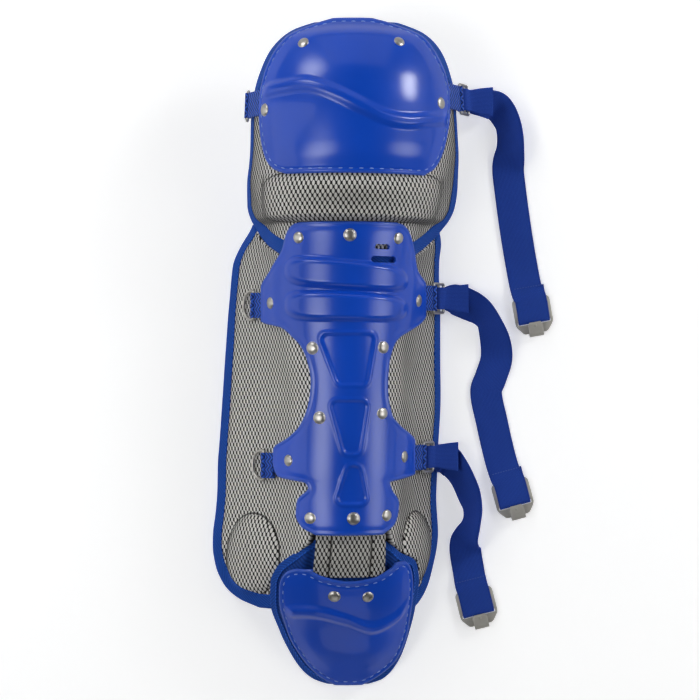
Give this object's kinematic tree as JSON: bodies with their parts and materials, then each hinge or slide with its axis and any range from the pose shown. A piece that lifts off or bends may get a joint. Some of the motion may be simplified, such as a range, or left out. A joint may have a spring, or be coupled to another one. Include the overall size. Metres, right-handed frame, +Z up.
{
  "type": "catcher leg guard",
  "caption": "Catcher's leg guard lying on its back: riveted knee, shin and foot shells over bound mesh pads, with elastic straps ending in hooks",
  "frame": {"origin": "centre of the bounding box in plan, on the floor that the guard lies on", "axes": "+Y runs along the leg from the toe to the knee, +X across it toward the straps, +Z up, away from the leg"},
  "size_m": [0.3396, 0.651, 0.1335],
  "materials": {
    "shell": "glossy royal blue moulded plastic",
    "mesh": "cream and black knitted mesh",
    "binding": "royal blue woven fabric",
    "webbing": "blue herringbone webbing",
    "elastic": "navy ribbed elastic",
    "steel": "bright nickel",
    "hook": "satin gray pressed metal"
  },
  "bodies": {
    "root": {"knee_cap_shell": "shell", "shin_shell": "shell", "foot_shell": "shell", "knee_pad": "mesh", "calf_liner": "mesh", "ankle_tongue": "mesh", "foot_pad": "binding", "knee_binding": "binding", "calf_binding": "binding", "foot_binding": "binding", "knee_left_tab": "webbing", "shin_left_tab": "webbing", "ankle_left_tab": "webbing", "knee_right_tab": "webbing", "shin_right_tab": "webbing", "ankle_right_tab": "webbing", "knee_strap": "elastic", "shin_strap": "elastic", "ankle_strap": "elastic", "knee_hook": "hook", "shin_hook": "hook", "ankle_hook": "hook", "knee_left_ring": "steel", "shin_left_ring": "steel", "ankle_left_ring": "steel", "knee_right_slide": "steel", "shin_right_slide": "steel", "ankle_right_slide": "steel", "knee_rivet_top_left": "steel", "knee_rivet_top_right": "steel", "knee_rivet_left": "steel", "knee_rivet_right": "steel", "shin_rivet_top_left": "steel", "shin_rivet_top_center": "steel", "shin_rivet_top_right": "steel", "shin_rivet_upper_ear_left": "steel", "shin_rivet_upper_ear_right": "steel", "shin_rivet_waist_left": "steel", "shin_rivet_waist_right": "steel", "shin_rivet_middle_left": "steel", "shin_rivet_middle_right": "steel", "shin_rivet_lower_ear_left": "steel", "shin_rivet_lower_ear_right": "steel", "shin_rivet_bottom_left": "steel", "shin_rivet_bottom_center": "steel", "shin_rivet_bottom_right": "steel", "foot_rivet_left": "steel", "foot_rivet_right": "steel"}
  },
  "joints": []
}
